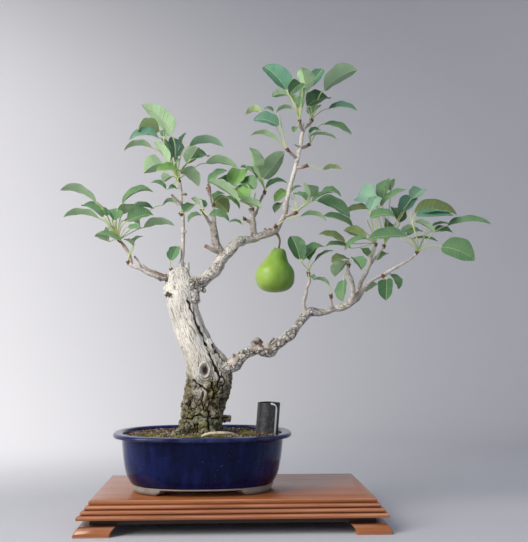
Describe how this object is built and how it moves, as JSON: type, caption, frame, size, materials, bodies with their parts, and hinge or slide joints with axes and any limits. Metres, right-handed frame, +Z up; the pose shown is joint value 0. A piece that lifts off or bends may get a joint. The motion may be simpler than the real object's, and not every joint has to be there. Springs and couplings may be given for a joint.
{
  "type": "potted pear bonsai",
  "caption": "Crooked old pear bonsai with one ripe pear, open leafy crown, glazed oval footed pot and low moulded wooden display stand.",
  "frame": {"origin": "centre of the overall box in plan, at the undersides of the stand's feet", "axes": "+Z up, -Y is the front the tree is composed for, +X to the right seen from the front"},
  "size_m": [0.682, 0.25, 0.7187],
  "materials": {
    "varnished_wood": "red-brown gloss varnish, worn pink on the arrises",
    "dark_wood": "near-black stained",
    "cobalt_glaze": "deep cobalt gloss, brown where it runs thin",
    "black_mesh": "matt",
    "potting_soil": "granular, matt",
    "moss": "fibrous, matt",
    "pale_root": "bare root, matt",
    "sleeve_sheeting": "satin",
    "trunk_bark": "bleached and cracked, dark blocky bark low down",
    "limb_bark": "matt bark",
    "pear_skin": "waxy satin",
    "stalk": "matt",
    "pear_leaf": "satin above, matt below"
  },
  "bodies": {
    "root": {"apex_left_leaves": "pear_leaf", "apex_right_leaves": "pear_leaf", "back_fork_leaves": "pear_leaf", "back_left_foot": "varnished_wood", "back_rail": "varnished_wood", "back_right_foot": "varnished_wood", "far_left_leaves": "pear_leaf", "fork_back": "limb_bark", "fork_front": "limb_bark", "fork_middle": "limb_bark", "fork_right": "limb_bark", "front_fork_leaves": "pear_leaf", "front_left_foot": "varnished_wood", "front_rail": "varnished_wood", "front_right_foot": "varnished_wood", "hanging_leaves": "pear_leaf", "leaning_twig": "limb_bark", "leaning_twig_leaves": "pear_leaf", "left_branch": "limb_bark", "left_drain_screen": "black_mesh", "left_rail": "varnished_wood", "left_shoot": "limb_bark", "left_spur_leaves": "pear_leaf", "left_top_leaves": "pear_leaf", "limb_bud_leaf": "pear_leaf", "limb_side_leaf": "pear_leaf", "low_twig": "limb_bark", "low_twig_leaves": "pear_leaf", "lower_left_leaves": "pear_leaf", "lower_limb": "limb_bark", "mid_leaves": "pear_leaf", "mid_left_leaves": "pear_leaf", "mid_left_twig": "limb_bark", "middle_fork_leaves": "pear_leaf", "middle_twig": "limb_bark", "middle_twig_leaves": "pear_leaf", "moss_front": "moss", "moss_left": "moss", "moss_right": "moss", "nub_leaf": "pear_leaf", "pale_root": "pale_root", "pear": "pear_skin", "pear_stalk": "stalk", "pot": "cobalt_glaze", "right_drain_screen": "black_mesh", "right_fork_leaves": "pear_leaf", "right_rail": "varnished_wood", "right_spur_leaves": "pear_leaf", "rolled_sleeve": "sleeve_sheeting", "shoot_leaf": "pear_leaf", "soil": "potting_soil", "spur_leaves": "pear_leaf", "stand_panel": "varnished_wood", "trunk": "trunk_bark", "trunk_leaf": "pear_leaf", "twig_bud_leaf": "pear_leaf", "under_frame": "dark_wood", "upper_limb": "limb_bark"}
  },
  "joints": []
}
